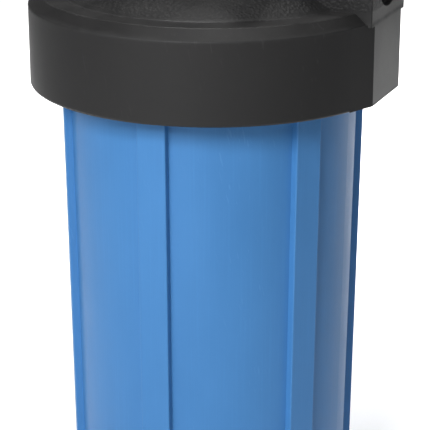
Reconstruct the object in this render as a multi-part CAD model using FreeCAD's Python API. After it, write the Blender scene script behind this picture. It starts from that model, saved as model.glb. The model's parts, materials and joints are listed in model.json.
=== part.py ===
"""Cartridge filter housing, ten inch large-diameter pattern.

A black moulded head with two side ports and a screw skirt closes a ribbed blue sump.
The sump hangs on a coarse buttress thread, an O-ring seals its rim, and a pleated
cartridge is held between a knife edge in the head and one in the sump's floor.
A press button on the head relieves the pressure before the sump is unscrewed.

Frame: millimetres, +Z up, origin on the axis at the flat foot of the sump,
+X out of the outlet port, -X out of the inlet port.
"""

import FreeCAD
import Part
import math
import os

V = FreeCAD.Vector
UP = V(0, 0, 1)
ORIGIN = V(0, 0, 0)

# ---------------------------------------------------------------- driving dimensions
HEAD_Z = 233.0            # lower edge of the head's skirt above the foot
HEAD_R = 90.5             # outside of the skirt
SKIRT_H = 39.6            # height of the plain skirt
PORT_FACE_X = 89.7        # flat port faces, measured from the axis
PORT_Z = HEAD_Z + 62.0    # centre line of both ports
TOP_Z = HEAD_Z + 100.0    # top of the four bracket bosses

RIB_COUNT = 6
RIB_W = 14.7              # flat width of each sump rib
RIB_FACE_TOP = 75.1       # distance of a rib's flat face from the axis, under the head
RIB_RISE = 3.6            # how far the ribs stand off the sump's wall
DRAFT = 0.0135            # taper of the sump, millimetres of radius per millimetre
SUMP_WALL = 6.0

THREAD_PITCH = 8.0
THREAD_BORE_R = 84.0      # inside of the skirt, root of the head's thread
THREAD_DEPTH = 3.0
THREAD_GAP = 0.4          # axial clearance on the loaded flank
NECK_ROOT_R = 80.4        # root of the sump's thread

CARTRIDGE_R = 57.2
CORE_BORE_R = 14.6
CARTRIDGE_LOW_Z = 11.5    # lower gasket face
CARTRIDGE_HIGH_Z = 258.0  # upper gasket face

# ---------------------------------------------------------------- worked-out levels
SKIRT_TOP_Z = HEAD_Z + SKIRT_H
SHOULDER_Z = HEAD_Z + 44.8       # flat ring above the skirt's chamfer
SHOULDER_OUT_R = 85.1
SHOULDER_IN_R = 74.4
CEILING_Z = HEAD_Z + 36.0        # sealing face inside the head
CHAMBER_TOP_Z = HEAD_Z + 79.0
DRUM_TOP_Z = HEAD_Z + 89.0
RIM_Z = CEILING_Z - 1.5          # top of the sump's rim
BODY_TOP_R = RIB_FACE_TOP - RIB_RISE
NECK_FLARE_Z = HEAD_Z + 3.0
NECK_Z = NECK_FLARE_Z + (NECK_ROOT_R - BODY_TOP_R)
FLOOR_Z = 10.0

THREAD_Z = HEAD_Z + 14.0         # where the sump's loaded flank starts its climb

PORT_BORE_R = 17.2
PORT_LEAD_IN = 0.5               # small chamfer round each port's mouth
PORT_BORE_L = 25.0
WATERWAY_R = 12.5
PORT_BLOCK_HALF = 24.9           # half width of the upper port block
PORT_FOOT_HALF = 20.2            # half width of the flat below it, down the skirt
BOSS_XY = 33.0                   # bracket boss centres, square pattern
BOSS_R = 8.0
PILOT_R = 2.9
PILOT_DEPTH = 20.0

KNIFE_R = 20.5                   # circle of the knife edges that bite the gaskets
KNIFE_H = 1.2
COLUMN_BORE_R = 11.5
SEAL_R = 75.5                    # circle of the sump's O-ring
SEAL_SECTION_R = 2.6
SEAL_GROOVE_W = 6.0
SEAL_GROOVE_D = 4.0
FOOT_IN_R = 48.0                 # the ring that the housing stands on
FOOT_OUT_R = 58.0
FOOT_RECESS = 4.0

RELIEF_Y = -27.0                 # the pressure relief valve stands in front of the axis
RELIEF_SEAT_Z = DRUM_TOP_Z + 3.0     # top of the head's relief boss
RELIEF_BORE_R = 8.0
RELIEF_FLANGE_R = 10.8
EPS = 1e-3


# ---------------------------------------------------------------- small tools
def rounded_wire(corners, place):
    """A closed wire through (a, b, corner radius) points; each radius becomes a tangent arc."""
    points = [place(a, b) for a, b, _ in corners]
    ends = []
    for i, corner in enumerate(corners):
        here, before, after = points[i], points[i - 1], points[(i + 1) % len(points)]
        radius = corner[2]
        if radius <= 0:
            ends.append((here, None, here))
            continue
        back = (before - here).normalize()
        on = (after - here).normalize()
        half = back.getAngle(on) / 2
        run = radius / math.tan(half)
        middle = here + (back + on).normalize() * (radius / math.sin(half) - radius)
        ends.append((here + back * run, middle, here + on * run))
    edges = []
    for i, (start, middle, end) in enumerate(ends):
        if middle is not None:
            edges.append(Part.Arc(start, middle, end).toShape())
        following = ends[(i + 1) % len(ends)][0]
        if end.distanceToPoint(following) > EPS ** 2:
            edges.append(Part.LineSegment(end, following).toShape())
    return Part.Wire(edges)


def radial(r, z):
    """A profile point in the plane through the axis."""
    return V(r, 0, z)


def revolved(corners, axis_x=0.0, axis_y=0.0):
    """The solid that a closed (r, z, corner radius) profile sweeps round the vertical axis."""
    wire = rounded_wire(corners, radial)
    solid = Part.Face(wire).revolve(ORIGIN, UP, 360)
    solid.translate(V(axis_x, axis_y, 0))
    return solid


def ring(r_in, r_out, z_low, z_high, soften=0.0):
    """A flat-sided ring round the axis, with its corners softened."""
    return revolved([(r_in, z_low, soften), (r_out, z_low, soften),
                     (r_out, z_high, soften), (r_in, z_high, soften)])


def turned(shape, degrees):
    """A copy of a shape turned round the axis."""
    copy = shape.copy()
    copy.rotate(ORIGIN, UP, degrees)
    return copy


def slab(x0, x1, y0, y1, z0, z1):
    """A plain block between two corners."""
    return Part.makeBox(x1 - x0, y1 - y0, z1 - z0, V(x0, y0, z0))


def helical_ridge(section, z_start, turns):
    """Sweeps a closed (r, z) section up a right-hand helix of the thread's pitch."""
    radius = section[0][0]
    helix = Part.makeHelix(THREAD_PITCH, THREAD_PITCH * turns, radius)
    outline = Part.makePolygon([radial(r, z) for r, z in section + section[:1]])
    ridge = Part.Wire(helix.Edges).makePipeShell([outline], True, True)
    ridge.translate(V(0, 0, z_start))
    return ridge


def clean(shape):
    """One solid with its leftover seams merged, if merging keeps it valid."""
    merged = shape.removeSplitter()
    if merged.isValid() and abs(merged.Volume - shape.Volume) < 1.0:
        shape = merged
    return shape.Solids[0] if len(shape.Solids) == 1 else shape


# ---------------------------------------------------------------- head
def head_outside():
    """Skirt, chamfered shoulder, dome and drum, all turned about the axis."""
    dome_r = 58.0
    dome_z = SHOULDER_Z + (SHOULDER_IN_R - dome_r) * 0.65
    drum_r = 48.0
    return revolved([
        (0, HEAD_Z, 0), (HEAD_R, HEAD_Z, 1.4),
        (HEAD_R, SKIRT_TOP_Z, 1.2), (SHOULDER_OUT_R, SHOULDER_Z, 1.2),
        (SHOULDER_IN_R, SHOULDER_Z, 2.5), (dome_r, dome_z, 14.0),
        (drum_r, DRUM_TOP_Z, 2.5), (0, DRUM_TOP_Z, 0)])


def port_block():
    """The flat-sided block through the head that carries both ports, round over the top."""
    floor_z = SKIRT_TOP_Z - 1.2
    arch_r = PORT_BLOCK_HALF
    left, right = V(0, -arch_r, PORT_Z), V(0, arch_r, PORT_Z)
    low_left, low_right = V(0, -arch_r, floor_z), V(0, arch_r, floor_z)
    outline = Part.Wire([
        Part.LineSegment(low_left, left).toShape(),
        Part.Arc(left, V(0, 0, PORT_Z + arch_r), right).toShape(),
        Part.LineSegment(right, low_right).toShape(),
        Part.LineSegment(low_right, low_left).toShape()])
    block = Part.Face(outline).extrude(V(2 * PORT_FACE_X, 0, 0))
    block.translate(V(-PORT_FACE_X, 0, 0))
    rims = [e for e in block.Edges
            if abs(abs(e.BoundBox.XMin) - PORT_FACE_X) < EPS
            and e.BoundBox.XLength < EPS and e.BoundBox.ZMax > floor_z + 1]
    return block.makeFillet(0.6, rims)


def port_foot(side):
    """The flat that runs down the skirt under one port, its sides running out tangent to the skirt."""
    corner_r = math.hypot(PORT_FACE_X, PORT_FOOT_HALF)
    meets_at = math.atan2(PORT_FOOT_HALF, PORT_FACE_X) + math.acos(HEAD_R / corner_r)
    tangent_x, tangent_y = HEAD_R * math.cos(meets_at), HEAD_R * math.sin(meets_at)
    corners = [(80.0, -tangent_y + 8.0), (tangent_x, -tangent_y), (PORT_FACE_X, -PORT_FOOT_HALF),
               (PORT_FACE_X, PORT_FOOT_HALF), (tangent_x, tangent_y), (80.0, tangent_y - 8.0)]
    line = [V(x, y, HEAD_Z) for x, y in corners]
    foot = Part.Face(Part.makePolygon(line + line[:1])).extrude(V(0, 0, SKIRT_H))
    return foot if side > 0 else turned(foot, 180)


def beyond_port_face(side):
    """Everything past one port face, across the width of its flat."""
    past = slab(PORT_FACE_X, PORT_FACE_X + 10, -PORT_FOOT_HALF, PORT_FOOT_HALF,
                HEAD_Z - 1, SKIRT_TOP_Z + 1)
    return past if side > 0 else turned(past, 180)


def bracket_mount():
    """The square plate, its four screw bosses, the webs between them and their gussets."""
    half, corner = BOSS_XY + BOSS_R + 1.0, 9.0
    plate_low = DRUM_TOP_Z - 9.0
    plate = slab(-half, half, -half, half, plate_low, DRUM_TOP_Z)
    plate = plate.makeFillet(corner, [e for e in plate.Edges if e.BoundBox.ZLength > 1])
    plate = plate.makeFillet(1.0, [e for e in plate.Edges if e.BoundBox.ZMin > DRUM_TOP_Z - 0.1])
    pieces = [plate]
    root_z = SHOULDER_Z + 2.0
    for sx in (-1, 1):
        for sy in (-1, 1):
            boss = Part.makeCone(BOSS_R + 0.9, BOSS_R, TOP_Z - root_z,
                                 V(sx * BOSS_XY, sy * BOSS_XY, root_z))
            top = [e for e in boss.Edges if e.BoundBox.ZMin > TOP_Z - 0.1]
            pieces.append(boss.makeFillet(0.8, top))
    web_h, web_t = 5.5, 4.0
    for side in (-1, 1):
        along_x = slab(-BOSS_XY, BOSS_XY, side * BOSS_XY - web_t / 2, side * BOSS_XY + web_t / 2,
                       DRUM_TOP_Z - 1, DRUM_TOP_Z + web_h)
        pieces += [along_x, turned(along_x, 90)]
    boss_at_r = BOSS_XY * math.sqrt(2)
    gusset = Part.Face(rounded_wire([
        (boss_at_r, root_z, 0), (61.5, root_z, 0), (61.5, SHOULDER_Z + 12.0, 2.0),
        (boss_at_r + BOSS_R + 0.5, plate_low + 2.0, 6.0), (boss_at_r, plate_low + 2.0, 0)], radial))
    gusset_w = 9.0
    gusset.translate(V(0, -gusset_w / 2, 0))
    gusset = gusset.extrude(V(0, gusset_w, 0))
    pieces += [turned(gusset, 45 + 90 * i) for i in range(4)]
    return pieces


def head_cavity():
    """The threaded bore of the skirt and the inlet chamber under the dome."""
    bore = revolved([
        (0, HEAD_Z - 1, 0), (THREAD_BORE_R + 2.2, HEAD_Z - 1, 0), (THREAD_BORE_R, HEAD_Z + 1.5, 0),
        (THREAD_BORE_R, CEILING_Z, 1.0), (0, CEILING_Z, 0)])
    chamber = revolved([
        (0, CEILING_Z - 1, 0), (66.0, CEILING_Z - 1, 0), (66.0, CEILING_Z + 2.5, 2.0),
        (52.0, CEILING_Z + 13.5, 6.0), (42.0, CEILING_Z + 26.0, 8.0),
        (41.0, CHAMBER_TOP_Z, 4.0), (0, CHAMBER_TOP_Z, 0)])
    return bore.fuse(chamber)


def outlet_column():
    """The tube that leads from the cartridge's core up and out to the outlet port."""
    column_r, arm_r, flange_z = 19.5, 18.5, CARTRIDGE_HIGH_Z + 1.5
    spigot_r, spigot_z = CORE_BORE_R - 0.8, CARTRIDGE_HIGH_Z - 6.0
    flange_r, flange_t, arm_l = 25.5, 4.0, 48.0
    down = revolved([
        (0, spigot_z, 0), (spigot_r, spigot_z, 1.5), (spigot_r, flange_z, 0),
        (KNIFE_R - KNIFE_H, flange_z, 0), (KNIFE_R, flange_z - KNIFE_H, 0),
        (KNIFE_R + KNIFE_H, flange_z, 0), (flange_r, flange_z, 0.8),
        (flange_r, flange_z + flange_t, 0.8), (column_r, flange_z + flange_t, 2.0),
        (column_r, CHAMBER_TOP_Z + 2.0, 0), (0, CHAMBER_TOP_Z + 2.0, 0)])
    across = Part.makeCylinder(arm_r, arm_l, V(0, 0, PORT_Z), V(1, 0, 0))
    return [down, across]


def head_thread():
    """The head's internal buttress ridge; its upper flank carries the sump."""
    rise = 0.35
    inner, outer = THREAD_BORE_R - THREAD_DEPTH, THREAD_BORE_R + 0.6
    flank_z = -THREAD_GAP
    section = [(outer, flank_z + rise * 1.4), (inner, flank_z), (inner, flank_z - 1.7),
               (outer, flank_z - 5.8)]
    return helical_ridge(section, THREAD_Z, 1.9)


def relief_boss():
    """The raised boss on the drum that the relief bush is pressed into."""
    low_r, high_r, height = 13.2, 12.0, 20.0
    boss = Part.makeCone(low_r, high_r, height, V(0, RELIEF_Y, RELIEF_SEAT_Z - height))
    top = [e for e in boss.Edges if e.BoundBox.ZMin > RELIEF_SEAT_Z - 0.1]
    return boss.makeFillet(1.0, top)


def port_cutters(side):
    """One port's bore with its lead-in, and the cone down to the waterway."""
    outward = V(side, 0, 0)
    mouth = V(side * (PORT_FACE_X + 1), 0, PORT_Z)
    seat = V(side * (PORT_FACE_X - PORT_BORE_L), 0, PORT_Z)
    seat_l = 2.0
    return [
        Part.makeCylinder(PORT_BORE_R, PORT_BORE_L + 1, mouth, -outward),
        Part.makeCone(PORT_BORE_R + PORT_LEAD_IN + 1, PORT_BORE_R, PORT_LEAD_IN + 1, mouth, -outward),
        Part.makeCone(PORT_BORE_R, WATERWAY_R, seat_l, seat, -outward)]


def waterway_cutters():
    """The way from the inlet into the chamber, and from the core up and out to the outlet."""
    outlet_l, inlet_x, inlet_l, column_l = 66.0, -66.0, 40.0, 60.0
    centre, along = V(0, 0, PORT_Z), V(1, 0, 0)
    return [
        Part.makeCylinder(WATERWAY_R, outlet_l, centre, along),
        Part.makeSphere(WATERWAY_R, centre),
        Part.makeCylinder(WATERWAY_R, inlet_l, V(inlet_x, 0, PORT_Z), along),
        Part.makeCylinder(COLUMN_BORE_R, column_l, V(0, 0, PORT_Z - column_l), UP)]


def relief_cutters():
    """The bush's bore through the drum, and room for its flange between the webs."""
    bore_l, flange_room_h = 40.0, 10.0
    return [
        Part.makeCylinder(RELIEF_BORE_R, bore_l, V(0, RELIEF_Y, CHAMBER_TOP_Z - 1.0), UP),
        Part.makeCylinder(RELIEF_FLANGE_R + 0.6, flange_room_h, V(0, RELIEF_Y, RELIEF_SEAT_Z), UP)]


def pilot_holes():
    """The blind screw holes in the four bracket bosses."""
    return [Part.makeCylinder(PILOT_R, PILOT_DEPTH + 1, V(x, y, TOP_Z - PILOT_DEPTH), UP)
            for x in (-BOSS_XY, BOSS_XY) for y in (-BOSS_XY, BOSS_XY)]


def head():
    shape = head_outside().cut(beyond_port_face(1)).cut(beyond_port_face(-1))
    shape = shape.multiFuse([port_block(), port_foot(1), port_foot(-1)] + bracket_mount())
    shape = shape.fuse(relief_boss())
    shape = shape.cut(head_cavity())
    shape = shape.multiFuse(outlet_column())
    for cutter in (port_cutters(-1) + port_cutters(1) + waterway_cutters()
                   + pilot_holes() + relief_cutters()):
        shape = shape.cut(cutter)
    shape = clean(shape)
    return shape.fuse(head_thread())


# ---------------------------------------------------------------- sump
def sump_outside():
    """The sump's wall, foot and neck before it is hollowed."""
    low_r = BODY_TOP_R - DRAFT * HEAD_Z
    return revolved([
        (0, FOOT_RECESS, 0), (FOOT_IN_R - 1.5, FOOT_RECESS, 1.0), (FOOT_IN_R, 0, 0.8),
        (FOOT_OUT_R, 0, 3.0),
        (low_r, 5.0, 9.0), (BODY_TOP_R, NECK_FLARE_Z, 3.0), (NECK_ROOT_R, NECK_Z, 2.0),
        (NECK_ROOT_R, RIM_Z, 0.8), (0, RIM_Z, 0)])


def sump_rib():
    """One flat-faced rib, from the foot ring up into the neck."""
    face_low = RIB_FACE_TOP - DRAFT * HEAD_Z
    web = Part.Face(rounded_wire([
        (50.0, 0, 0), (face_low - 10.0, 0, 4.0), (face_low, 7.0, 12.0),
        (RIB_FACE_TOP, NECK_FLARE_Z + 3.0, 2.0), (60.0, NECK_FLARE_Z + 14.0, 0), (50.0, 30.0, 0)],
        radial))
    web.translate(V(0, -RIB_W / 2, 0))
    web = web.extrude(V(0, RIB_W, 0))
    long_edges = [e for e in web.Edges
                  if e.BoundBox.ZLength > 150 and e.BoundBox.XMin > 60]
    return web.makeFillet(0.6, long_edges)


def sump_cavity():
    """The inside of the sump: tapered wall, rounded floor and wider mouth."""
    low_r = BODY_TOP_R - SUMP_WALL - DRAFT * (HEAD_Z - FLOOR_Z)
    mouth_r = 69.0
    return revolved([
        (0, FLOOR_Z, 0), (low_r, FLOOR_Z, 8.0), (BODY_TOP_R - SUMP_WALL, HEAD_Z, 0),
        (mouth_r, HEAD_Z + 8.0, 2.0), (mouth_r, RIM_Z - 1.0, 0), (mouth_r + 1.5, RIM_Z + 0.5, 0),
        (mouth_r + 1.5, RIM_Z + 2, 0), (0, RIM_Z + 2, 0)])


def sump_thread():
    """The neck's external buttress ridge; its flat lower flank hangs on the head's ridge."""
    rise = 0.35
    outer, inner = NECK_ROOT_R + THREAD_DEPTH, NECK_ROOT_R - 0.6
    section = [(inner, -rise * 0.2), (outer, rise), (outer, 2.05), (inner, 5.6)]
    return helical_ridge(section, THREAD_Z, 1.75)


def sump_post():
    """The knife edge and the short post that centre the cartridge on the sump's floor."""
    post_r, tip_r, post_h, tip_h = CORE_BORE_R - 0.8, 9.0, 8.0, 13.0
    return revolved([
        (0, FLOOR_Z - 1, 0), (KNIFE_R + 3.2, FLOOR_Z - 1, 0), (KNIFE_R + KNIFE_H, FLOOR_Z, 0),
        (KNIFE_R, FLOOR_Z + KNIFE_H, 0), (KNIFE_R - KNIFE_H, FLOOR_Z, 0), (post_r, FLOOR_Z, 0),
        (post_r, FLOOR_Z + post_h, 0), (tip_r, FLOOR_Z + tip_h, 3.0), (0, FLOOR_Z + tip_h, 0)])


def sump_underside():
    """The hub and the spokes that stiffen the floor inside the foot ring."""
    spoke_t, spoke_low, spoke_high, hub_h = 3.0, 1.0, 5.0, 3.5
    hub = Part.makeCone(10.0, 12.0, hub_h, V(0, 0, spoke_low))
    spoke = slab(8.0, FOOT_IN_R + 1, -spoke_t / 2, spoke_t / 2, spoke_low, spoke_high)
    return [hub] + [turned(spoke, 60 * i) for i in range(RIB_COUNT)]


def sump():
    shape = sump_outside()
    ribs = [turned(sump_rib(), 30 + 360 / RIB_COUNT * i) for i in range(RIB_COUNT)]
    shape = shape.multiFuse(ribs).cut(sump_cavity())
    shape = shape.cut(ring(SEAL_R - SEAL_GROOVE_W / 2, SEAL_R + SEAL_GROOVE_W / 2,
                           RIM_Z - SEAL_GROOVE_D, RIM_Z + 1))
    shape = shape.multiFuse([sump_post()] + sump_underside())
    shape = clean(shape)
    return shape.fuse(sump_thread())


def sump_o_ring():
    """The round-section seal in the rim's groove, just under the head's sealing face."""
    return Part.makeTorus(SEAL_R, SEAL_SECTION_R, V(0, 0, RIM_Z - SEAL_GROOVE_D + SEAL_SECTION_R))


# ---------------------------------------------------------------- pleated cartridge
GASKET_T = 3.0
GASKET_R = 27.0
CAP_RIM_H = 11.0
CAP_RIM_T = 2.2
END_PLATE_T = 3.5
MEDIA_LOW_Z = CARTRIDGE_LOW_Z + GASKET_T + END_PLATE_T
MEDIA_HIGH_Z = CARTRIDGE_HIGH_Z - GASKET_T - END_PLATE_T
CORE_WALL = 2.6
MESH_T = 0.5
PLEATS = 60
PLEAT_IN_R = 21.0
PLEAT_OUT_R = 52.5
MEDIA_T = 0.6


def cartridge_gasket(z_low):
    """A flat ring gasket on the outside of an end cap."""
    return ring(CORE_BORE_R + 0.3, GASKET_R, z_low, z_low + GASKET_T, 0.5)


def end_cap(low):
    """A dished end cap: a plate with an outer rim round the pleats."""
    profile = [
        (CORE_BORE_R, 0, 0.4), (CARTRIDGE_R, 0, 1.5), (CARTRIDGE_R, CAP_RIM_H, 0.6),
        (CARTRIDGE_R - CAP_RIM_T, CAP_RIM_H, 0.6), (CARTRIDGE_R - CAP_RIM_T, END_PLATE_T, 0.5),
        (CORE_BORE_R, END_PLATE_T, 0)]
    cap = revolved(profile)
    if not low:
        cap.rotate(ORIGIN, V(1, 0, 0), 180)
    base = CARTRIDGE_LOW_Z + GASKET_T if low else CARTRIDGE_HIGH_Z - GASKET_T
    cap.translate(V(0, 0, base))
    return cap


def core_tube():
    """The perforated centre tube that holds the pleats open."""
    tube = ring(CORE_BORE_R, CORE_BORE_R + CORE_WALL, MEDIA_LOW_Z, MEDIA_HIGH_Z)
    rows, slots_round, slot_w, slot_h = 12, 8, 6.0, 11.0
    step = (MEDIA_HIGH_Z - MEDIA_LOW_Z) / rows
    windows = []
    for row in range(rows):
        middle = MEDIA_LOW_Z + step * (row + 0.5)
        for i in range(slots_round // 2):
            bar = slab(-30, 30, -slot_w / 2, slot_w / 2, middle - slot_h / 2, middle + slot_h / 2)
            windows.append(turned(bar, 360 / slots_round * (i + 0.5 * (row % 2))))
    return tube.cut(Part.makeCompound(windows))


def inner_mesh():
    """The drainage sleeve between the core and the pleats."""
    inside = CORE_BORE_R + CORE_WALL + 0.1
    return ring(inside, inside + MESH_T, MEDIA_LOW_Z + 0.5, MEDIA_HIGH_Z - 0.5)


def pleat_line():
    """Middle line of the folded sheet, as points round the axis."""
    tip_half, root_half = 0.85, 0.45
    points = []
    for i in range(PLEATS):
        at = 2 * math.pi * i / PLEATS
        between = at + math.pi / PLEATS
        for radius, angle, half in ((PLEAT_OUT_R, at, tip_half), (PLEAT_IN_R, between, root_half)):
            for side in (-1, 1):
                turn = angle + side * half / radius
                points.append((radius * math.cos(turn), radius * math.sin(turn)))
    return points


def offset_line(points, distance):
    """The closed line moved sideways by a distance, square to its runs."""
    moved = []
    for i, (x, y) in enumerate(points):
        (px, py), (nx, ny) = points[i - 1], points[(i + 1) % len(points)]
        in_len, out_len = math.hypot(x - px, y - py), math.hypot(nx - x, ny - y)
        ax, ay = (y - py) / in_len, -(x - px) / in_len
        bx, by = (ny - y) / out_len, -(nx - x) / out_len
        scale = distance / (1 + ax * bx + ay * by)
        moved.append((x + (ax + bx) * scale, y + (ay + by) * scale))
    return moved


def pleated_media():
    """The folded filter sheet, as one ring of deep pleats."""
    faces = []
    for distance in (MEDIA_T / 2, -MEDIA_T / 2):
        line = [V(x, y, MEDIA_LOW_Z + 0.2) for x, y in offset_line(pleat_line(), distance)]
        faces.append(Part.makePolygon(line + line[:1]))
    height = MEDIA_HIGH_Z - MEDIA_LOW_Z - 0.4
    solids = [Part.Face(w).extrude(V(0, 0, height)) for w in faces]
    solids.sort(key=lambda s: s.Volume)
    return solids[1].cut(solids[0])


def seam_clip():
    """The channel that joins the two ends of the folded sheet, over one pleat's tip."""
    inside, wall, depth = 1.3, 0.4, 1.1
    x_in, x_out = PLEAT_OUT_R - depth - 3.0, PLEAT_OUT_R + MEDIA_T / 2 + 0.6
    body = slab(x_in, x_out, -inside - wall, inside + wall, MEDIA_LOW_Z + 9.0, MEDIA_HIGH_Z - 9.0)
    hollow = slab(x_in - 1, x_out - wall, -inside, inside, MEDIA_LOW_Z, MEDIA_HIGH_Z)
    return body.cut(hollow)


def outer_netting():
    """The netting sleeve drawn over the pleats, between the end caps' rims."""
    inside = PLEAT_OUT_R + MEDIA_T / 2 + 0.8
    return ring(inside, inside + 0.8, MEDIA_LOW_Z + 0.4, MEDIA_HIGH_Z - 0.4)


# ---------------------------------------------------------------- pressure relief valve
STEM_R = 2.2
STEM_LOW_Z = CHAMBER_TOP_Z - 0.4
SPRING_FLOOR_Z = CHAMBER_TOP_Z + 5.8
BUTTON_LOW_Z = SPRING_FLOOR_Z + 6.5
BUTTON_R = 6.0


def relief_body():
    """The flanged bush in the head that guides the button and seats its O-ring."""
    under = CHAMBER_TOP_Z + 1.0
    return revolved([
        (STEM_R + 0.15, under + 3.6, 0), (4.6, under + 1.6, 0), (4.8, under, 0), (7.95, under, 0.5),
        (7.95, RELIEF_SEAT_Z + 1.2, 0), (RELIEF_FLANGE_R, RELIEF_SEAT_Z + 1.2, 0.3),
        (RELIEF_FLANGE_R, RELIEF_SEAT_Z + 3.6, 0.8), (BUTTON_R + 0.3, RELIEF_SEAT_Z + 3.6, 0.4),
        (BUTTON_R + 0.3, SPRING_FLOOR_Z, 0), (STEM_R + 0.15, SPRING_FLOOR_Z, 0)], 0, RELIEF_Y)


def relief_body_gasket():
    """The flat washer between the bush's flange and the head."""
    return revolved([
        (8.1, RELIEF_SEAT_Z, 0), (10.6, RELIEF_SEAT_Z, 0.3),
        (10.6, RELIEF_SEAT_Z + 1.2, 0.3), (8.1, RELIEF_SEAT_Z + 1.2, 0)], 0, RELIEF_Y)


def relief_button():
    """The red push button, hollow under its crown for the stem."""
    top = TOP_Z - 1.0
    return revolved([
        (STEM_R, BUTTON_LOW_Z, 0), (BUTTON_R, BUTTON_LOW_Z, 0.3), (BUTTON_R, top - 0.6, 1.4),
        (0, top, 0), (0, BUTTON_LOW_Z + 6.0, 0), (STEM_R, BUTTON_LOW_Z + 6.0, 0)], 0, RELIEF_Y)


def relief_stem():
    """The pin under the button, grooved at its foot for the clip."""
    groove_r, groove_low, groove_high = 1.6, STEM_LOW_Z + 0.8, STEM_LOW_Z + 1.5
    return revolved([
        (0, STEM_LOW_Z, 0), (STEM_R - 0.05, STEM_LOW_Z, 0.3), (STEM_R - 0.05, groove_low, 0),
        (groove_r, groove_low, 0), (groove_r, groove_high, 0), (STEM_R - 0.05, groove_high, 0),
        (STEM_R - 0.05, BUTTON_LOW_Z + 5.8, 0), (0, BUTTON_LOW_Z + 5.8, 0)], 0, RELIEF_Y)


def relief_clip():
    """The open retaining clip in the stem's groove."""
    low = STEM_LOW_Z + 0.85
    clip = Part.makeCylinder(3.9, 0.6, V(0, RELIEF_Y, low), UP)
    clip = clip.cut(Part.makeCylinder(1.65, 2.0, V(0, RELIEF_Y, low - 0.5), UP))
    return clip.cut(slab(-1.4, 1.4, RELIEF_Y - 5.0, RELIEF_Y, low - 0.5, low + 1.5))


def relief_washer():
    """The backing washer that carries the O-ring on the stem."""
    low = STEM_LOW_Z + 1.5
    washer = Part.makeCylinder(4.2, 0.6, V(0, RELIEF_Y, low), UP)
    return washer.cut(Part.makeCylinder(STEM_R, 2.0, V(0, RELIEF_Y, low - 0.5), UP))


def relief_o_ring():
    """The small seal that closes the bush from below."""
    section_r = 0.9
    return Part.makeTorus(STEM_R + section_r, section_r,
                          V(0, RELIEF_Y, STEM_LOW_Z + 2.1 + section_r))


def relief_spring():
    """The return spring between the bush's floor and the button."""
    wire_r, coil_r, turns = 0.4, 4.4, 3.0
    low, high = SPRING_FLOOR_Z + wire_r + 0.05, BUTTON_LOW_Z - wire_r - 0.05
    helix = Part.makeHelix((high - low) / turns, high - low, coil_r)
    section = Part.Wire(Part.makeCircle(wire_r, V(coil_r, 0, 0), V(0, 1, 0)))
    spring = Part.Wire(helix.Edges).makePipeShell([section], True, True)
    spring.translate(V(0, RELIEF_Y, low))
    return spring


# ---------------------------------------------------------------- export
def nodes():
    return {
        "head": head(),
        "sump": sump(),
        "sump_o_ring": sump_o_ring(),
        "cartridge_core_tube": core_tube(),
        "cartridge_inner_mesh": inner_mesh(),
        "cartridge_pleated_media": pleated_media(),
        "cartridge_seam_clip": seam_clip(),
        "cartridge_outer_netting": outer_netting(),
        "cartridge_top_end_cap": end_cap(False),
        "cartridge_bottom_end_cap": end_cap(True),
        "cartridge_top_gasket": cartridge_gasket(CARTRIDGE_HIGH_Z - GASKET_T),
        "cartridge_bottom_gasket": cartridge_gasket(CARTRIDGE_LOW_Z),
        "relief_body": relief_body(),
        "relief_body_gasket": relief_body_gasket(),
        "relief_button": relief_button(),
        "relief_stem": relief_stem(),
        "relief_clip": relief_clip(),
        "relief_washer": relief_washer(),
        "relief_o_ring": relief_o_ring(),
        "relief_spring": relief_spring(),
    }


os.makedirs("parts", exist_ok=True)
for name, shape in nodes().items():
    shape.exportStep("parts/" + name + ".step")
    print(name, "solids", len(shape.Solids), "valid", shape.isValid(),
          "cm3", round(shape.Volume / 1000, 2))
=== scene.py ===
"""Cartridge filter housing: a black screw-on head over a ribbed blue sump, in soft studio light."""

import json
import math

import bpy
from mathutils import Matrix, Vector


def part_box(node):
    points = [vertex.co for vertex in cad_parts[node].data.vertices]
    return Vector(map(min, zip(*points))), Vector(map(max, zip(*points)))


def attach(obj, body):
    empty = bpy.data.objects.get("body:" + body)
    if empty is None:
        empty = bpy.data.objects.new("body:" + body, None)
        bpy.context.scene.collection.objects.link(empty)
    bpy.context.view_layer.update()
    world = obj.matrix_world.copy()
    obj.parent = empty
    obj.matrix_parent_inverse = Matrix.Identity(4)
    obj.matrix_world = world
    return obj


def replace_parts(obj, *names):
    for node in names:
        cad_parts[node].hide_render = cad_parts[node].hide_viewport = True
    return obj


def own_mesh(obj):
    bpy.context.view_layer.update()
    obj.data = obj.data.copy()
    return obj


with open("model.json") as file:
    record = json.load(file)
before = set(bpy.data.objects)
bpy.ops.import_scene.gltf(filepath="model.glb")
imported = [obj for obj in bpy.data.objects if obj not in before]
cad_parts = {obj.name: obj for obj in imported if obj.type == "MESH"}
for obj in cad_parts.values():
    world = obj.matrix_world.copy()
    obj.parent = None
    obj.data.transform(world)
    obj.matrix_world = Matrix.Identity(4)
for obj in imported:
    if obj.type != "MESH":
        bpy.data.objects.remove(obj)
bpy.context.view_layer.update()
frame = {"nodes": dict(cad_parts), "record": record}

# ------------------------------------------------------------------ sizes, from the frame
MM = 0.001
SKIRT_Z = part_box("head")[0].z        # lower edge of the head's skirt
SKIRT_TOP_Z = SKIRT_Z + 39.6 * MM    # where the skirt's chamfer starts
RING_Z = SKIRT_Z + 44.8 * MM         # flat ring between the chamfer and the pebbled dome
PLATE_Z = SKIRT_Z + 89.0 * MM        # top plate between the bracket bosses
MOUNTS = {mount["name"]: mount for mount in frame["record"]["mounts"]}


# ------------------------------------------------------------------ shader tools
def feed(tree, source, socket):
    """Sets a socket to a number or colour, or links another node's output to it."""
    if isinstance(source, bpy.types.NodeSocket):
        tree.links.new(source, socket)
    else:
        socket.default_value = source


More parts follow.
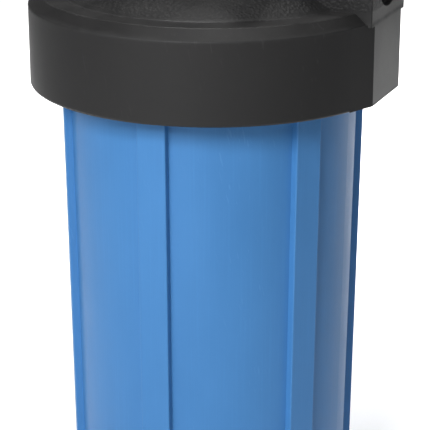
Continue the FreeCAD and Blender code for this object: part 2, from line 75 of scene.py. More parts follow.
def calc(tree, operation, first, second=0.0, clamp=False):
    """One step of arithmetic on two values."""
    node = tree.nodes.new("ShaderNodeMath")
    node.operation = operation
    node.use_clamp = clamp
    feed(tree, first, node.inputs[0])
    feed(tree, second, node.inputs[1])
    return node.outputs[0]


def noise(tree, vector, scale, detail=2.0, roughness=0.5):
    """Cloudy noise; scale is in waves per metre of the vector."""
    node = tree.nodes.new("ShaderNodeTexNoise")
    feed(tree, vector, node.inputs["Vector"])
    feed(tree, scale, node.inputs["Scale"])
    node.inputs["Detail"].default_value = detail
    node.inputs["Roughness"].default_value = roughness
    return node.outputs["Fac"]


def cells(tree, vector, scale, smooth=0.6):
    """Smooth rounded cells, low in the middle of each."""
    node = tree.nodes.new("ShaderNodeTexVoronoi")
    node.feature = "SMOOTH_F1"
    node.inputs["Smoothness"].default_value = smooth
    feed(tree, vector, node.inputs["Vector"])
    feed(tree, scale, node.inputs["Scale"])
    return node.outputs["Distance"]


def spread(tree, value, low, high, to_low=0.0, to_high=1.0):
    """Stretches the range from low to high over to_low to to_high, and stops at its ends."""
    node = tree.nodes.new("ShaderNodeMapRange")
    for label, source in (("Value", value), ("From Min", low), ("From Max", high),
                          ("To Min", to_low), ("To Max", to_high)):
        feed(tree, source, node.inputs[label])
    return node.outputs["Result"]


def stretched(tree, vector, x, y, z):
    """The same coordinates scaled differently along each axis."""
    node = tree.nodes.new("ShaderNodeMapping")
    feed(tree, vector, node.inputs["Vector"])
    node.inputs["Scale"].default_value = (x, y, z)
    return node.outputs["Vector"]


def blend_colours(tree, amount, under, over):
    """The colour under, covered by the colour over by an amount from 0 to 1."""
    node = tree.nodes.new("ShaderNodeMix")
    node.data_type = "RGBA"
    node.clamp_factor = True
    feed(tree, amount, node.inputs["Factor"])
    feed(tree, under, node.inputs[6])
    feed(tree, over, node.inputs[7])
    return node.outputs[2]


def blend_values(tree, amount, under, over):
    """The value under, replaced by the value over by an amount from 0 to 1."""
    node = tree.nodes.new("ShaderNodeMix")
    node.data_type = "FLOAT"
    feed(tree, amount, node.inputs[0])
    feed(tree, under, node.inputs[2])
    feed(tree, over, node.inputs[3])
    return node.outputs[0]


def bump(tree, height, distance, strength=1.0):
    """A normal tilted by a height map; distance is the height of its full range in metres."""
    node = tree.nodes.new("ShaderNodeBump")
    node.inputs["Strength"].default_value = strength
    node.inputs["Distance"].default_value = distance
    feed(tree, height, node.inputs["Height"])
    return node.outputs["Normal"]


def object_vector(tree):
    """Places on the object, in metres."""
    return tree.nodes.new("ShaderNodeTexCoord").outputs["Object"]


def object_normal(tree):
    """The way that the surface faces, in the object's own axes."""
    return tree.nodes.new("ShaderNodeTexCoord").outputs["Normal"]


def axes_of(tree, vector):
    """The X, Y and Z of a vector, by letter."""
    node = tree.nodes.new("ShaderNodeSeparateXYZ")
    tree.links.new(vector, node.inputs[0])
    return node.outputs


def new_group(name, inputs, outputs):
    """A node group with float, vector or colour sockets; returns tree, its inputs and its exit."""
    tree = bpy.data.node_groups.new(name, "ShaderNodeTree")
    for label, kind, value in inputs:
        socket = tree.interface.new_socket(label, in_out="INPUT", socket_type="NodeSocket" + kind)
        if value is not None:
            socket.default_value = value
    for label, kind in outputs:
        tree.interface.new_socket(label, in_out="OUTPUT", socket_type="NodeSocket" + kind)
    return tree, tree.nodes.new("NodeGroupInput").outputs, tree.nodes.new("NodeGroupOutput").inputs


def place_group(tree, group, **values):
    """Puts a group in a material; values are fed to its inputs by name, with _ for a space."""
    node = tree.nodes.new("ShaderNodeGroup")
    node.node_tree = group
    for label, source in values.items():
        feed(tree, source, node.inputs[label.replace("_", " ")])
    return node.outputs


def new_material(name, metallic=0.0, specular=0.5, coat=0.0, coat_roughness=0.1):
    """A material with its constant shader values set; returns it, its tree and its shader."""
    material = bpy.data.materials.new(name)
    material.use_nodes = True
    tree = material.node_tree
    shader = tree.nodes["Principled BSDF"]
    shader.inputs["Metallic"].default_value = metallic
    shader.inputs["Specular IOR Level"].default_value = specular
    shader.inputs["Coat Weight"].default_value = coat
    shader.inputs["Coat Roughness"].default_value = coat_roughness
    return material, tree, shader


def finish_shader(tree, shader, colour, roughness, height, depth, strength):
    """Links a finish's colour, roughness and bump to its shader."""
    tree.links.new(colour, shader.inputs["Base Color"])
    tree.links.new(roughness, shader.inputs["Roughness"])
    tree.links.new(bump(tree, height, depth, strength), shader.inputs["Normal"])


# ------------------------------------------------------------------ shared surface effects
def make_pebble_group():
    """Spark-eroded pebble texture: rounded grains with finer grit between them."""
    tree, given, out = new_group(
        "pebble texture",
        [("Vector", "Vector", None), ("Grains per Metre", "Float", 650.0), ("Grit", "Float", 0.35)],
        [("Height", "Float"), ("Pits", "Float")])
    warp = noise(tree, given["Vector"], 420.0)
    shifted = tree.nodes.new("ShaderNodeVectorMath")
    shifted.operation = "MULTIPLY_ADD"
    tree.links.new(warp, shifted.inputs[0])
    shifted.inputs[1].default_value = (1.2 * MM, -1.0 * MM, 1.1 * MM)
    tree.links.new(given["Vector"], shifted.inputs[2])
    grain = cells(tree, shifted.outputs[0], given["Grains per Metre"])
    rounded = spread(tree, grain, 0.08, 0.62, 1.0, 0.0)
    grit_scale = calc(tree, "MULTIPLY", given["Grains per Metre"], 3.1)
    grit = calc(tree, "MULTIPLY", noise(tree, given["Vector"], grit_scale, 3.0, 0.6), given["Grit"])
    tree.links.new(calc(tree, "ADD", rounded, grit), out["Height"])
    tree.links.new(spread(tree, grain, 0.38, 0.62), out["Pits"])
    return tree


def make_satin_group():
    """The faint orange peel and gloss variation of a polished mould."""
    tree, given, out = new_group(
        "satin skin",
        [("Vector", "Vector", None), ("Peel per Metre", "Float", 900.0),
         ("Gloss", "Float", 0.4), ("Gloss Swing", "Float", 0.08)],
        [("Height", "Float"), ("Roughness", "Float")])
    peel = noise(tree, given["Vector"], given["Peel per Metre"], 3.0, 0.55)
    tree.links.new(peel, out["Height"])
    cloudy = noise(tree, given["Vector"], 38.0, 3.0, 0.6)
    swing = calc(tree, "MULTIPLY", calc(tree, "SUBTRACT", cloudy, 0.5), given["Gloss Swing"])
    fine = calc(tree, "MULTIPLY", calc(tree, "SUBTRACT", peel, 0.5), 0.06)
    both = calc(tree, "ADD", swing, fine)
    tree.links.new(calc(tree, "ADD", given["Gloss"], both, clamp=True), out["Roughness"])
    return tree


def make_dust_group():
    """Fine dust that lies on upward faces, in drifts."""
    tree, given, out = new_group(
        "settled dust",
        [("Vector", "Vector", None), ("Normal", "Vector", None), ("Amount", "Float", 0.3)],
        [("Mask", "Float")])
    upward = spread(tree, axes_of(tree, given["Normal"])["Z"], 0.55, 0.98)
    drifts = spread(tree, noise(tree, given["Vector"], 55.0, 5.0, 0.65), 0.4, 0.7)
    specks = spread(tree, noise(tree, given["Vector"], 1900.0, 1.0), 0.62, 0.7, 0.0, 0.6)
    patchy = calc(tree, "MAXIMUM", drifts, specks)
    lying = calc(tree, "MULTIPLY", upward, patchy)
    tree.links.new(calc(tree, "MULTIPLY", lying, given["Amount"]), out["Mask"])
    return tree


def make_scuff_group():
    """Short fine scratches running mostly one way, thinned out in patches."""
    tree, given, out = new_group(
        "handling scuffs",
        [("Vector", "Vector", None), ("Spacing per Metre", "Float", 900.0),
         ("Long", "Float", 30.0), ("Share", "Float", 0.25)],
        [("Mask", "Float")])
    place = axes_of(tree, given["Vector"])
    leaning = calc(tree, "ADD", place["X"], calc(tree, "MULTIPLY", place["Z"], 0.22))
    joined = tree.nodes.new("ShaderNodeCombineXYZ")
    for axis, source, scale in (("X", leaning, given["Spacing per Metre"]),
                                ("Y", place["Y"], given["Spacing per Metre"]),
                                ("Z", place["Z"], given["Long"])):
        tree.links.new(calc(tree, "MULTIPLY", source, scale), joined.inputs[axis])
    lines = spread(tree, noise(tree, joined.outputs[0], 1.0, 1.0), 0.66, 0.72)
    patches = spread(tree, noise(tree, given["Vector"], 24.0, 3.0, 0.6), 0.5, 0.66)
    scratched = calc(tree, "MULTIPLY", lines, patches)
    tree.links.new(calc(tree, "MULTIPLY", scratched, given["Share"]), out["Mask"])
    return tree


def make_rim_rub_and_highlight_group():
    """Paler line along an edge that lies at one height, broken up along its length: partly rub wear, partly
    a painted edge highlight.
    """
    tree, given, out = new_group(
        "rubbed rim",
        [("Vector", "Vector", None), ("Level", "Float", 0.0), ("Reach", "Float", 1.2 * MM),
         ("Amount", "Float", 0.5)],
        [("Mask", "Float")])
    waver = calc(tree, "SUBTRACT", noise(tree, given["Vector"], 700.0, 3.0), 0.5)
    level = calc(tree, "ADD", given["Level"], calc(tree, "MULTIPLY", waver, 1.2 * MM))
    above = calc(tree, "SUBTRACT", axes_of(tree, given["Vector"])["Z"], level)
    near = spread(tree, calc(tree, "ABSOLUTE", above), 0.0, given["Reach"], 1.0, 0.0)
    broken = spread(tree, noise(tree, given["Vector"], 120.0, 4.0, 0.7), 0.35, 0.65, 0.35, 1.0)
    rubbed_and_highlighted = calc(tree, "MULTIPLY", near, broken)
    tree.links.new(calc(tree, "MULTIPLY", rubbed_and_highlighted, given["Amount"]), out["Mask"])
    return tree


PEBBLE = make_pebble_group()
SATIN = make_satin_group()
DUST = make_dust_group()
SCUFFS = make_scuff_group()
RIM_RUB_AND_HIGHLIGHT = make_rim_rub_and_highlight_group()


# ------------------------------------------------------------------ finishes
def head_plastic():
    """Black glass-filled plastic: pebbled dome with painted shade in its hollows, satin skirt, dusty
    ledges, and worn rims that carry a painted highlight.
    """
    black, lighter_black = (0.0125, 0.0125, 0.0130, 1), (0.0185, 0.0182, 0.0182, 1)
    # darker black is painted shade in the pebble hollows; paler grey is rub wear with a painted highlight
    # on the rims
    pit_shade_black, rub_and_highlight_grey = (0.008, 0.008, 0.0085, 1), (0.024, 0.024, 0.0245, 1)
    scratch_grey, dust_grey = (0.06, 0.06, 0.062, 1), (0.085, 0.083, 0.08, 1)
    material, tree, shader = new_material("head black moulded plastic", specular=0.26)
    vector, normal = object_vector(tree), object_normal(tree)
    pebble = place_group(tree, PEBBLE, Vector=vector, Grains_per_Metre=620.0, Grit=0.4)
    satin = place_group(tree, SATIN, Vector=vector, Peel_per_Metre=1500.0, Gloss=0.44, Gloss_Swing=0.1)
    dust = place_group(tree, DUST, Vector=vector, Normal=normal, Amount=0.2)["Mask"]
    # paler lines along the skirt's top and lower edges: rub wear together with a painted edge highlight
    top_rub_and_highlight = place_group(tree, RIM_RUB_AND_HIGHLIGHT, Vector=vector, Level=SKIRT_TOP_Z,
                          Reach=1.6 * MM, Amount=0.8)["Mask"]
    low_rub_and_highlight = place_group(tree, RIM_RUB_AND_HIGHLIGHT, Vector=vector, Level=SKIRT_Z,
                          Reach=1.2 * MM, Amount=0.4)["Mask"]
    scuffs = place_group(tree, SCUFFS, Vector=vector, Spacing_per_Metre=700.0,
                         Long=60.0, Share=0.2)["Mask"]

    pebbled = spread(tree, axes_of(tree, vector)["Z"], RING_Z + 0.4 * MM, RING_Z + 1.4 * MM)
    satin_height = calc(tree, "MULTIPLY", satin["Height"], 0.16)
    height = blend_values(tree, pebbled, satin_height, pebble["Height"])

    body = blend_colours(tree, noise(tree, vector, 16.0, 4.0, 0.6), black, lighter_black)
    # painted shade: the low hollows of the pebble are coloured darker black
    pit_shade = calc(tree, "MULTIPLY", calc(tree, "MULTIPLY", pebble["Pits"], pebbled), 0.6)
    pit_shaded = blend_colours(tree, pit_shade, body, pit_shade_black)
    # paler grey along the rims: rub wear and painted highlight
    rubs_and_highlights = calc(tree, "MAXIMUM", top_rub_and_highlight, low_rub_and_highlight)
    rubbed_and_highlighted = blend_colours(tree, rubs_and_highlights, pit_shaded, rub_and_highlight_grey)
    scratched = blend_colours(tree, scuffs, rubbed_and_highlighted, scratch_grey)
    dusty = blend_colours(tree, dust, scratched, dust_grey)

    coarse = calc(tree, "ADD", calc(tree, "MULTIPLY", pebbled, 0.1), calc(tree, "MULTIPLY", rubs_and_highlights, 0.3))
    rough = calc(tree, "ADD", satin["Roughness"], coarse)
    dulled = calc(tree, "ADD", rough, calc(tree, "MULTIPLY", dust, 0.5), clamp=True)
    finish_shader(tree, shader, dusty, dulled, height, 0.32 * MM, 0.5)
    return material


def sump_plastic():
    """Blue polypropylene: flow clouds, faint drawn lines up the mould, light scuffs and dust."""
    blue, lighter_blue = (0.047, 0.180, 0.420, 1), (0.055, 0.200, 0.458, 1)
    streak_blue, scratch_blue = (0.070, 0.250, 0.56, 1), (0.17, 0.36, 0.66, 1)
    dust_blue = (0.30, 0.36, 0.43, 1)
    material, tree, shader = new_material("sump blue polypropylene", specular=0.24)
    vector, normal = object_vector(tree), object_normal(tree)
    satin = place_group(tree, SATIN, Vector=vector, Peel_per_Metre=520.0, Gloss=0.46, Gloss_Swing=0.1)
    dust = place_group(tree, DUST, Vector=vector, Normal=normal, Amount=0.25)["Mask"]
    scuffs = place_group(tree, SCUFFS, Vector=vector, Spacing_per_Metre=1100.0,
                         Long=42.0, Share=0.16)["Mask"]
    foot_rub = place_group(tree, RIM_RUB_AND_HIGHLIGHT, Vector=vector, Level=0.0, Reach=2.5 * MM, Amount=0.5)["Mask"]

    drawn = noise(tree, stretched(tree, vector, 900.0, 900.0, 9.0), 1.0)
    height = calc(tree, "ADD", satin["Height"], calc(tree, "MULTIPLY", drawn, 0.5))

    flow = noise(tree, stretched(tree, vector, 26.0, 26.0, 9.0), 1.0, 5.0, 0.6)
    body = blend_colours(tree, spread(tree, flow, 0.3, 0.7), blue, lighter_blue)
    streak = calc(tree, "MULTIPLY", spread(tree, drawn, 0.5, 0.75), 0.14)
    lined = blend_colours(tree, streak, body, streak_blue)
    scratched = blend_colours(tree, calc(tree, "MAXIMUM", scuffs, foot_rub), lined, scratch_blue)
    dusty = blend_colours(tree, dust, scratched, dust_blue)

    rough = calc(tree, "ADD", satin["Roughness"], calc(tree, "MULTIPLY", scuffs, 0.4))
    dulled = calc(tree, "ADD", rough, calc(tree, "MULTIPLY", dust, 0.4), clamp=True)
    finish_shader(tree, shader, dusty, dulled, height, 0.05 * MM, 0.5)
    return material


def seal_rubber():
    """Black moulded rubber with a grey bloom and a little talc."""
    rubber_black, bloom_grey = (0.010, 0.010, 0.011, 1), (0.036, 0.036, 0.038, 1)
    talc_grey = (0.12, 0.12, 0.115, 1)
    material, tree, shader = new_material("seal black rubber", specular=0.35)
    vector = object_vector(tree)
    satin = place_group(tree, SATIN, Vector=vector, Peel_per_Metre=1800.0, Gloss=0.58, Gloss_Swing=0.16)
    bloom = spread(tree, noise(tree, vector, 90.0, 5.0, 0.65), 0.45, 0.75, 0.0, 0.5)
    talc = spread(tree, noise(tree, vector, 2600.0), 0.62, 0.7, 0.0, 0.35)
    colour = blend_colours(tree, talc, blend_colours(tree, bloom, rubber_black, bloom_grey), talc_grey)
    finish_shader(tree, shader, colour, satin["Roughness"], satin["Height"], 0.05 * MM, 0.6)
    return material


def white_plastic(name, tint, gloss):
    """Natural polypropylene: milky, with faint flow clouds and a fine skin."""
    material, tree, shader = new_material(name, specular=0.4)
    vector = object_vector(tree)
    satin = place_group(tree, SATIN, Vector=vector, Peel_per_Metre=1300.0, Gloss=gloss, Gloss_Swing=0.14)
    cloud = spread(tree, noise(tree, vector, 60.0, 4.0, 0.6), 0.3, 0.7)
    deeper = tuple(share * 0.86 for share in tint[:3]) + (1,)
    colour = blend_colours(tree, cloud, deeper, tint)
    finish_shader(tree, shader, colour, satin["Roughness"], satin["Height"], 0.06 * MM, 0.5)
    return material


def filter_cloth():
    """Spun polyester sheet: tangled fibres, thermal bond dots and a soft sheen."""
    shade_white, fibre_white = (0.62, 0.62, 0.60, 1), (0.84, 0.84, 0.82, 1)
    bond_white = (0.66, 0.67, 0.66, 1)
    material, tree, shader = new_material("media spun polyester", specular=0.2)
    shader.inputs["Sheen Weight"].default_value = 0.25
    shader.inputs["Sheen Roughness"].default_value = 0.5
    vector = object_vector(tree)
    upright = noise(tree, stretched(tree, vector, 4200.0, 4200.0, 420.0), 1.0, 3.0, 0.6)
    across = noise(tree, stretched(tree, vector, 500.0, 500.0, 4600.0), 1.0, 3.0, 0.6)
    fibres = calc(tree, "MAXIMUM", upright, across)
    dots = spread(tree, cells(tree, vector, 520.0, 0.2), 0.1, 0.26, 1.0, 0.0)
    height = calc(tree, "SUBTRACT", fibres, calc(tree, "MULTIPLY", dots, 0.4))
    tone = blend_colours(tree, spread(tree, fibres, 0.4, 0.75), shade_white, fibre_white)
    bonded = blend_colours(tree, calc(tree, "MULTIPLY", dots, 0.5), tone, bond_white)
    rough = spread(tree, dots, 0.0, 1.0, 0.92, 0.6)
    finish_shader(tree, shader, bonded, rough, height, 0.12 * MM, 0.8)
    return material


def cast_end_cap():
    """Poured plastisol: pale grey, slightly translucent looking, with tiny pinholes coloured darker as
    painted shade.
    """
    deep_grey, pale_grey = (0.56, 0.59, 0.61, 1), (0.68, 0.70, 0.71, 1)
    pinhole_shade_grey = (0.34, 0.36, 0.38, 1)
    material, tree, shader = new_material("end cap cast plastisol", specular=0.4,
                                          coat=0.1, coat_roughness=0.3)
    vector = object_vector(tree)
    satin = place_group(tree, SATIN, Vector=vector, Peel_per_Metre=420.0, Gloss=0.42, Gloss_Swing=0.18)
    holes = spread(tree, cells(tree, vector, 900.0, 0.1), 0.05, 0.09, 1.0, 0.0)
    body = blend_colours(tree, noise(tree, vector, 48.0, 4.0, 0.6), deep_grey, pale_grey)
    # painted shade: the pinholes are coloured darker grey
    colour = blend_colours(tree, holes, body, pinhole_shade_grey)
    height = calc(tree, "SUBTRACT", satin["Height"], holes)
    finish_shader(tree, shader, colour, satin["Roughness"], height, 0.08 * MM, 0.6)
    return material


def relief_plastic():
    """Black moulded bush of the relief valve, finer grained than the head."""
    black, lighter_black = (0.013, 0.013, 0.014, 1), (0.022, 0.022, 0.023, 1)
    dust_grey = (0.10, 0.098, 0.095, 1)
    material, tree, shader = new_material("relief bush black plastic", specular=0.4)
    vector, normal = object_vector(tree), object_normal(tree)
    satin = place_group(tree, SATIN, Vector=vector, Peel_per_Metre=2200.0, Gloss=0.38, Gloss_Swing=0.1)
    dust = place_group(tree, DUST, Vector=vector, Normal=normal, Amount=0.3)["Mask"]
    body = blend_colours(tree, noise(tree, vector, 140.0, 3.0), black, lighter_black)
    colour = blend_colours(tree, dust, body, dust_grey)
    finish_shader(tree, shader, colour, satin["Roughness"], satin["Height"], 0.04 * MM, 0.6)
    return material


def button_plastic():
    """Red glossy button, with hair scratches that dull it and a little dust."""
    red, lighter_red = (0.42, 0.012, 0.014, 1), (0.52, 0.020, 0.018, 1)
    scratch_pink, dust_pink = (0.66, 0.16, 0.14, 1), (0.45, 0.30, 0.28, 1)
    material, tree, shader = new_material("button red plastic", specular=0.5, coat=0.3, coat_roughness=0.12)
    vector, normal = object_vector(tree), object_normal(tree)
    satin = place_group(tree, SATIN, Vector=vector, Peel_per_Metre=1600.0, Gloss=0.28, Gloss_Swing=0.12)
    scuffs = place_group(tree, SCUFFS, Vector=vector, Spacing_per_Metre=2600.0,
                         Long=900.0, Share=0.5)["Mask"]
    dust = place_group(tree, DUST, Vector=vector, Normal=normal, Amount=0.15)["Mask"]
    body = blend_colours(tree, noise(tree, vector, 180.0, 3.0), red, lighter_red)
    colour = blend_colours(tree, dust, blend_colours(tree, scuffs, body, scratch_pink), dust_pink)
    rough = calc(tree, "ADD", satin["Roughness"], calc(tree, "MULTIPLY", scuffs, 0.5), clamp=True)
    finish_shader(tree, shader, colour, rough, satin["Height"], 0.03 * MM, 0.5)
    return material


def turned_steel():
    """Stainless steel with fine rings left by turning, darker in the grooves as painted shade and lighter
    on the crests as painted highlight.
    """
    groove_shade_steel, crest_highlight_steel = (0.42, 0.41, 0.40, 1), (0.66, 0.65, 0.63, 1)
    material, tree, shader = new_material("relief stainless steel", metallic=1.0)
    vector = object_vector(tree)
    rings = noise(tree, stretched(tree, vector, 260.0, 260.0, 9000.0), 1.0)
    smears = calc(tree, "MULTIPLY", noise(tree, vector, 300.0, 3.0), 0.1)
    rough = calc(tree, "ADD", spread(tree, rings, 0.3, 0.7, 0.22, 0.4), smears)
    # painted shade in the ring grooves and painted highlight on the ring crests, following the ring height
    colour = blend_colours(tree, rings, groove_shade_steel, crest_highlight_steel)
    finish_shader(tree, shader, colour, rough, rings, 0.02 * MM, 0.6)
    return material


FINISHES = {
    "head_black": head_plastic(),
    "sump_blue": sump_plastic(),
    "seal_rubber": seal_rubber(),
    "core_white": white_plastic("core white polypropylene", (0.78, 0.79, 0.78, 1), 0.42),
    "mesh_white": white_plastic("netting white polypropylene", (0.80, 0.81, 0.80, 1), 0.36),
    "media_white": filter_cloth(),
    "seam_white": white_plastic("seam white polypropylene", (0.74, 0.76, 0.77, 1), 0.32),
    "end_cap_grey": cast_end_cap(),
    "relief_black": relief_plastic(),
    "button_red": button_plastic(),
    "steel": turned_steel(),
}


def finish_cad_nodes():
    """Each CAD node takes the finish that the record's slot names."""
    for part in frame["record"]["subparts"]:
        mesh = frame["nodes"][part["node"]].data
        mesh.materials.clear()
        mesh.materials.append(FINISHES[part["material_slot"]])


# ------------------------------------------------------------------ modelling tools
def deselect():
    """Back to object mode, with nothing selected."""
    if bpy.context.object and bpy.context.object.mode != "OBJECT":
        bpy.ops.object.mode_set(mode="OBJECT")
    bpy.ops.object.select_all(action="DESELECT")


def take_up(piece):
    """Selects one piece alone and makes it the active one."""
    deselect()
    piece.select_set(True)
    bpy.context.view_layer.objects.active = piece


def edit(piece, kind="VERT"):
    """Edit mode on one piece, picking its corners, edges or faces."""
    take_up(piece)
    bpy.ops.object.mode_set(mode="EDIT")
    bpy.context.tool_settings.mesh_select_mode = tuple(kind == each for each in ("VERT", "EDGE", "FACE"))


def object_mode():
    bpy.ops.object.mode_set(mode="OBJECT")


def pick(piece, kind, wanted):
    """In edit mode, selects just the corners or edges that wanted says yes to, given their places."""
    edit(piece, kind)
    bpy.ops.mesh.select_all(action="DESELECT")
    object_mode()
    corners = piece.data.vertices
    if kind == "VERT":
        for corner in corners:
            corner.select = wanted(corner.co)
    else:
        for line in piece.data.edges:
            line.select = wanted(*(corners[end].co for end in line.vertices))
    edit(piece, kind)


def apply_modifiers(piece):
    take_up(piece)
    for modifier in list(piece.modifiers):
        bpy.ops.object.modifier_apply(modifier=modifier.name)


def settle(piece):
    """The piece's place goes into its mesh, so its object sits at the origin."""
    take_up(piece)
    bpy.ops.object.transform_apply(location=True, rotation=True, scale=True)


def point_outwards(piece):
    """Turns every face of a closed piece outwards."""
    edit(piece)
    bpy.ops.mesh.select_all(action="SELECT")
    bpy.ops.mesh.normals_make_consistent(inside=False)
    object_mode()


def wind(section, axis, pitch, turns, steps):
    """Winds a closed outline into a helix round an axis through the origin, and closes its ends."""
    winding = section.modifiers.new("winding", "SCREW")
    winding.axis = axis
    winding.angle = 2 * math.pi
    winding.screw_offset = pitch
    winding.iterations = turns
    winding.steps = winding.render_steps = steps
    winding.use_merge_vertices = False
    apply_modifiers(section)
    edit(section)
    bpy.ops.mesh.select_all(action="SELECT")
    bpy.ops.mesh.fill_holes(sides=0)
    point_outwards(section)


def finish_piece(piece, name, body, slot, smooth_angle=35):
    """Names a piece, paints it, smooths it and lets it ride on its body."""
    settle(piece)
    piece.name = name
    piece.data.name = name
    piece.data.materials.clear()
    piece.data.materials.append(FINISHES[slot])
    bpy.ops.object.shade_smooth_by_angle(angle=math.radians(smooth_angle))
    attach(piece, body)
    return piece


# ------------------------------------------------------------------ pipe threads in the ports
def port_thread(port, name):
    """The tapped thread in one port: a tooth section wound along the port's axis."""
    mount = MOUNTS[port]
    bore_r = mount["dims"]["r_mm"] * MM
    mouth_x = abs(mount["pos_m"][0]) + mount["dims"]["length_mm"] * MM / 2
    pitch, depth, sunk, turns, runout_turns, steps = 2.209 * MM, 1.45 * MM, 0.12 * MM, 9, 0.6, 56
    crest_share, root_share = 0.24, 0.94    # widths of the tooth's crest and root, over its pitch
    deselect()
    bpy.ops.mesh.primitive_plane_add(size=pitch, location=(0, 0, 0), rotation=(math.radians(90), 0, 0))
    tooth = bpy.context.object
    settle(tooth)
    edit(tooth)
    bpy.ops.mesh.select_all(action="SELECT")
    bpy.ops.mesh.delete(type="ONLY_FACE")
    for side, share, level in ((1, root_share, bore_r + sunk), (-1, crest_share, bore_r - depth)):
        pick(tooth, "VERT", lambda place: place.z * side > 0)
        bpy.ops.transform.resize(value=(share, 1, 1))
        bpy.ops.transform.translate(value=(0, 0, level - side * pitch / 2))
    wind(tooth, "X", pitch, turns, steps)
    start = mouth_x - pitch * (turns + runout_turns)
    outward = math.copysign(1, mount["pos_m"][0])
    tooth.location = (outward * start, 0, mount["pos_m"][2])
    tooth.rotation_euler = (0, 0, 0 if outward > 0 else math.pi)
    return finish_piece(tooth, name, "head", "head_black", 50)


# ------------------------------------------------------------------ relief valve's return spring
def return_spring():
    """The coil under the button; it stands on the bush's floor."""
    low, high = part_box("relief_spring")
    wire_r, turns, steps, slack = 0.4 * MM, 3, 40, 0.02 * MM
    coil_r = (high.x - low.x) / 2 - wire_r
    axis_x, axis_y = (low.x + high.x) / 2, (low.y + high.y) / 2
    deselect()
    bpy.ops.mesh.primitive_circle_add(vertices=12, radius=wire_r, fill_type="NOTHING",
                                      location=(coil_r, 0, 0), rotation=(math.radians(90), 0, 0))
    coil = bpy.context.object
    settle(coil)
    wind(coil, "Z", (high.z - low.z - 2 * wire_r) / turns, turns, steps)
    coil.location = (axis_x, axis_y, low.z + wire_r)
    finish_piece(coil, "relief_return_spring", "head", "steel", 60)
    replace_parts(coil, "relief_spring")
    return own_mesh(coil)


# ------------------------------------------------------------------ netting sleeves
def netting_sleeve(node, name, around, rows, strand):
    """A diamond netting tube in place of a plain sleeve, woven between the sleeve's two ends."""
    low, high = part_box(node)
    radius = (high.x - low.x) / 2 - strand / 2
    height = high.z - low.z - strand
    deselect()
    bpy.ops.mesh.primitive_cylinder_add(vertices=around, radius=radius, depth=height,
                                        end_fill_type="NOTHING", location=(0, 0, (low.z + high.z) / 2))
    sleeve = bpy.context.object
    settle(sleeve)
    pick(sleeve, "EDGE", lambda first, second: abs(first.z - second.z) > height / 2)
    bpy.ops.mesh.subdivide(number_cuts=rows - 1)
    object_mode()
    grid_corners = len(sleeve.data.vertices)
    edit(sleeve, "FACE")
    bpy.ops.mesh.select_all(action="SELECT")
    bulge = radius * (1 - math.cos(math.pi / around))
    bpy.ops.mesh.poke(offset=bulge)
    object_mode()
    open_grid(sleeve, grid_corners, low.z + strand, high.z - strand)
    strands = sleeve.modifiers.new("strands", "WIREFRAME")
    strands.thickness = strand
    strands.use_even_offset = False
    strands.use_boundary = True
    apply_modifiers(sleeve)
    finish_piece(sleeve, name, "cartridge", "mesh_white", 60)
    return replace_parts(sleeve, node)


def open_grid(sleeve, grid_corners, low_rim, high_rim):
    """Dissolves the square grid between the two rims, which leaves the diagonals as diamonds."""
    edit(sleeve, "EDGE")
    bpy.ops.mesh.select_all(action="DESELECT")
    object_mode()
    for line in sleeve.data.edges:
        ends = [sleeve.data.vertices[end] for end in line.vertices]
        in_grid = all(end.index < grid_corners for end in ends)
        on_rim = all(not low_rim <= end.co.z <= high_rim for end in ends)
        line.select = in_grid and not on_rim
    edit(sleeve, "EDGE")
    bpy.ops.mesh.dissolve_edges(use_verts=False)
    object_mode()


# ------------------------------------------------------------------ raised flow arrow
def flow_arrow():
    """A raised arrow on the head's top plate, pointing from the inlet to the outlet."""
    length, width, rise, sunk, aside = 30 * MM, 5 * MM, 0.9 * MM, 0.05 * MM, 7 * MM
    shaft_share, barb_spread, tip_share, top_taper = 0.62, 2.6, 0.06, (0.97, 0.86, 1)
    deselect()
    bpy.ops.mesh.primitive_plane_add(size=1, location=(0, 0, 0))
    arrow = bpy.context.object
    arrow.scale = (length * shaft_share, width, 1)
    settle(arrow)
    pick(arrow, "EDGE", lambda first, second: first.x > 0 and second.x > 0)
    bpy.ops.mesh.extrude_region_move(TRANSFORM_OT_translate={"value": (0.01 * MM, 0, 0)})
    bpy.ops.transform.resize(value=(1, barb_spread, 1))
    bpy.ops.mesh.extrude_region_move(TRANSFORM_OT_translate={"value": (length * (1 - shaft_share), 0, 0)})
    bpy.ops.transform.resize(value=(1, tip_share, 1))
    bpy.ops.mesh.select_all(action="SELECT")
    bpy.ops.mesh.extrude_region_move(TRANSFORM_OT_translate={"value": (0, 0, rise)})
    bpy.ops.transform.resize(value=top_taper)
    point_outwards(arrow)
    softening = arrow.modifiers.new("softening", "BEVEL")
    softening.width = 0.2 * MM
    softening.segments = 2
    apply_modifiers(arrow)
    arrow.location = (-length * (1 - shaft_share) / 2, aside, PLATE_Z - sunk)
    return finish_piece(arrow, "head_flow_arrow", "head", "head_black")


finish_cad_nodes()
port_thread("outlet", "outlet_thread")
port_thread("inlet", "inlet_thread")
return_spring()
netting_sleeve("cartridge_outer_netting", "cartridge_netting", 54, 40, 1.0 * MM)
netting_sleeve("cartridge_inner_mesh", "cartridge_core_netting", 30, 60, 0.6 * MM)
flow_arrow()


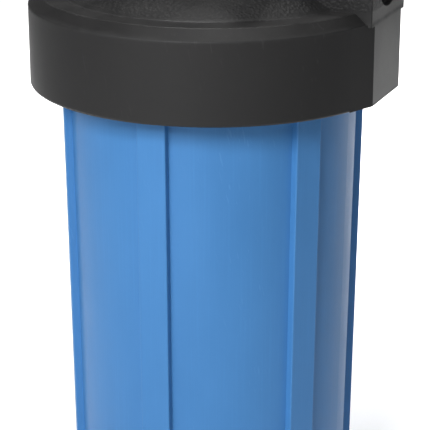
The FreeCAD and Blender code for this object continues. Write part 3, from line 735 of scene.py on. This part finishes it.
# ------------------------------------------------------------------ studio
def studio_floor():
    """A pale, faintly mottled floor; far from the object it glows softly, as a lit backdrop does."""
    material, tree, shader = new_material("studio pale floor", specular=0.2)
    vector = object_vector(tree)
    mottle = noise(tree, vector, 3.0, 4.0)
    pale = blend_colours(tree, mottle, (0.90, 0.90, 0.90, 1), (0.93, 0.93, 0.93, 1))
    tree.links.new(pale, shader.inputs["Base Color"])
    tree.links.new(spread(tree, mottle, 0.0, 1.0, 0.6, 0.8), shader.inputs["Roughness"])
    reach = tree.nodes.new("ShaderNodeVectorMath")
    reach.operation = "LENGTH"
    tree.links.new(vector, reach.inputs[0])
    glow_start, glow_full, glow = 1.5, 2.6, 0.6
    far = spread(tree, reach.outputs["Value"], glow_start, glow_full, 0.0, glow)
    tree.links.new(blend_colours(tree, far, (0, 0, 0, 1), (1, 1, 1, 1)), shader.inputs["Emission Color"])
    shader.inputs["Emission Strength"].default_value = 1.0
    deselect()
    bpy.ops.mesh.primitive_plane_add(size=12, location=(0, 0, 0))
    floor = bpy.context.object
    floor.name = "studio_floor"
    floor.data.materials.append(material)


def soft_light(name, place, aim, size, power, spread_angle=180):
    """A rectangular lamp that faces its aim; the spread angle narrows its beam."""
    light = bpy.data.lights.new(name, "AREA")
    light.shape = "RECTANGLE"
    light.size, light.size_y = size
    light.energy = power
    light.spread = math.radians(spread_angle)
    lamp = bpy.data.objects.new(name, light)
    bpy.context.scene.collection.objects.link(lamp)
    lamp.location = place
    lamp.rotation_euler = (Vector(aim) - Vector(place)).to_track_quat("-Z", "Y").to_euler()


def studio_lights():
    """Dim surroundings, two lamps in front, one overhead and two narrow ones on the floor behind."""
    world = bpy.data.worlds.new("studio surroundings")
    bpy.context.scene.world = world
    world.use_nodes = True
    background = world.node_tree.nodes["Background"]
    background.inputs["Color"].default_value = (1.0, 1.0, 1.0, 1)
    background.inputs["Strength"].default_value = 0.09
    soft_light("key light", (-0.3, -1.4, 0.95), (0, 0, 0.15), (0.7, 0.7), 5.5)
    soft_light("front light", (0.0, -1.1, 0.85), (0.02, -0.3, 0.1), (0.4, 0.4), 13.2)
    soft_light("top light", (0.1, -0.15, 1.7), (0, 0, 0.3), (0.9, 0.9), 6)
    soft_light("backdrop light", (-0.25, 0.85, 1.5), (-0.25, 0.7, 0), (0.4, 0.85), 8.5, 60)
    soft_light("right pool light", (0.45, 0.85, 1.0), (0.43, 0.8, 0), (0.3, 0.3), 1.15, 40)


def studio_camera():
    """A long lens from the front right, looking a little down at the head."""
    azimuth, tilt = math.radians(22.9), math.radians(19.06)
    distance, rise, lens_per_width = 0.8689, 0.2278, 4.187907
    data = bpy.data.cameras.new("studio camera")
    data.sensor_width = 36
    data.lens = lens_per_width * data.sensor_width
    data.shift_x = 0.004
    data.clip_start, data.clip_end = 0.05, 50
    camera = bpy.data.objects.new("studio camera", data)
    bpy.context.scene.collection.objects.link(camera)
    camera.location = (distance * math.sin(azimuth), -distance * math.cos(azimuth), SKIRT_Z + rise)
    camera.rotation_euler = (math.pi / 2 - tilt, 0, azimuth)
    bpy.context.scene.camera = camera


studio_floor()
studio_lights()
studio_camera()
bpy.context.scene.view_settings.view_transform = "Standard"
